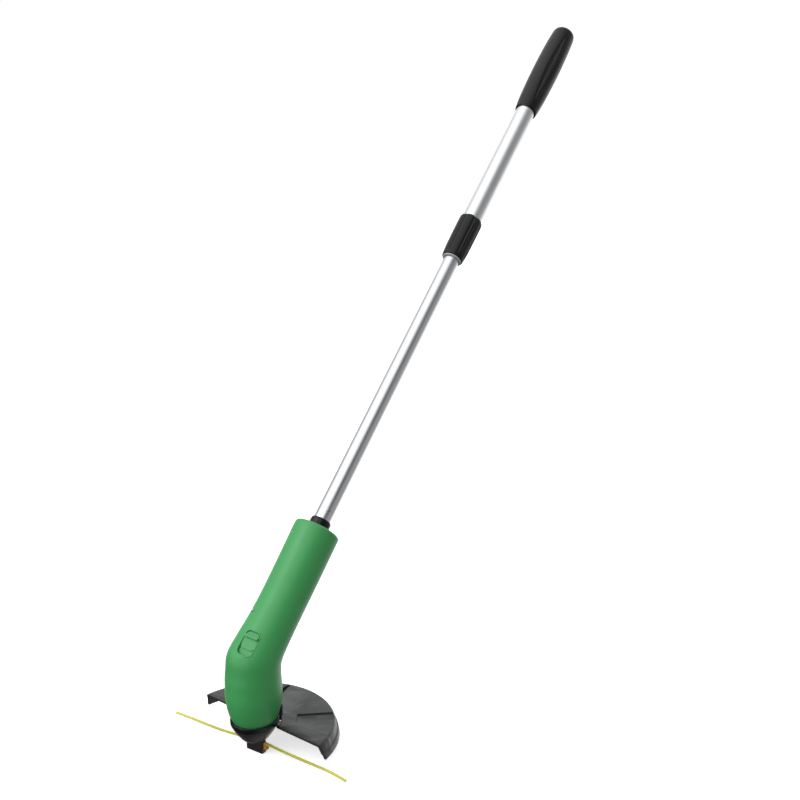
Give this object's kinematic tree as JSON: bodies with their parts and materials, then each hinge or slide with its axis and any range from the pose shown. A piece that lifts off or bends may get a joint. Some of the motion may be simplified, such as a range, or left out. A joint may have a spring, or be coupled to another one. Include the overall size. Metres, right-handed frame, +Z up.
{
  "type": "string trimmer",
  "caption": "Battery string trimmer with an angled moulded head, half-moon guard, cable-tie cutting lines and a telescopic pole with a twist lock and a hand grip.",
  "frame": {"origin": "on the spindle axis, at the foot face of the spindle block, the lowest point of the head", "axes": "+Z up along the spindle axis; the pole leans 42.5 degrees from +Z towards +Y, where the user stands; the housing's parting plane is x = 0"},
  "size_m": [0.2425, 0.6824, 0.8166],
  "materials": {
    "green_abs": "fine satin moulded ABS",
    "steel_screws": "zinc plated",
    "black_moulding": "moulded black ABS",
    "cell_wrap": "shrink wrap over steel",
    "spring_metal": "nickel plated",
    "motor_steel": "zinc plated drawn steel",
    "sintered_bronze": "oil filled sintered bronze",
    "spindle_moulding": "moulded nylon",
    "yellow_nylon": "moulded nylon",
    "guard_moulding": "fine grained moulded polypropylene",
    "red_lead": "PVC sleeve",
    "black_lead": "PVC sleeve",
    "satin_aluminium": "satin drawn and anodised",
    "bright_aluminium": "bright satin drawn and anodised",
    "grey_nylon": "moulded nylon",
    "collar_moulding": "moulded nylon",
    "grip_moulding": "moulded grip, satin"
  },
  "bodies": {
    "upper_pole": {"upper_tube": "bright_aluminium", "grip": "grip_moulding", "tube_plug": "black_moulding", "lock_sleeve": "black_moulding", "collet": "grey_nylon"},
    "lock_collar": {"twist_collar": "collar_moulding"},
    "head": {"lower_tube": "satin_aluminium", "lower_tube_bush": "black_moulding", "pole_socket": "black_moulding", "socket_collar": "black_moulding", "housing_left": "green_abs", "housing_right": "green_abs", "housing_screws": "steel_screws", "battery_holder": "black_moulding", "battery_cells": "cell_wrap", "contact_plates": "spring_metal", "contact_springs": "spring_metal", "switch_body": "black_moulding", "motor_can": "motor_steel", "motor_end_cap": "black_moulding", "motor_bracket": "black_moulding", "motor_screws": "steel_screws", "shaft_bush": "sintered_bronze", "lead_red": "red_lead", "lead_black": "black_lead", "guard": "guard_moulding", "guard_screws": "steel_screws"},
    "switch": {"switch_slider": "green_abs"},
    "door": {"battery_door": "green_abs"},
    "button": {"snap_button": "motor_steel", "snap_spring": "spring_metal"},
    "spindle": {"motor_rotor": "motor_steel", "spindle_bowl": "spindle_moulding", "spindle_block": "black_moulding", "cable_tie_front": "yellow_nylon", "cable_tie_back": "yellow_nylon"}
  },
  "joints": [
    {"name": "pole_telescope", "type": "slide", "parent": "upper_pole", "child": "head", "axis": [0, 0.6756, 0.7373], "range_m": [0, 0.22]},
    {"name": "collar_twist", "type": "hinge", "parent": "upper_pole", "child": "lock_collar", "pos_m": [0, 0.38846, 0.53123], "axis": [0, 0.6756, 0.7373], "range_deg": [0, 90]},
    {"name": "switch_slide", "type": "slide", "parent": "head", "child": "switch", "axis": [0, -0.6756, -0.7373], "range_m": [0, 0.006]},
    {"name": "battery_door_lift", "type": "slide", "parent": "head", "child": "door", "axis": [0, 0.7373, -0.6756], "range_m": [0, 0.04]},
    {"name": "snap_button_press", "type": "slide", "parent": "head", "child": "button", "axis": [-0.809, 0.4334, -0.3971], "range_m": [0, 0.0015], "stiffness_N_per_m": 800, "springref_m": -0.001},
    {"name": "spindle_spin", "type": "hinge", "parent": "head", "child": "spindle", "pos_m": [0, 0, 0.032], "axis": [0, 0, 1], "continuous": true}
  ]
}
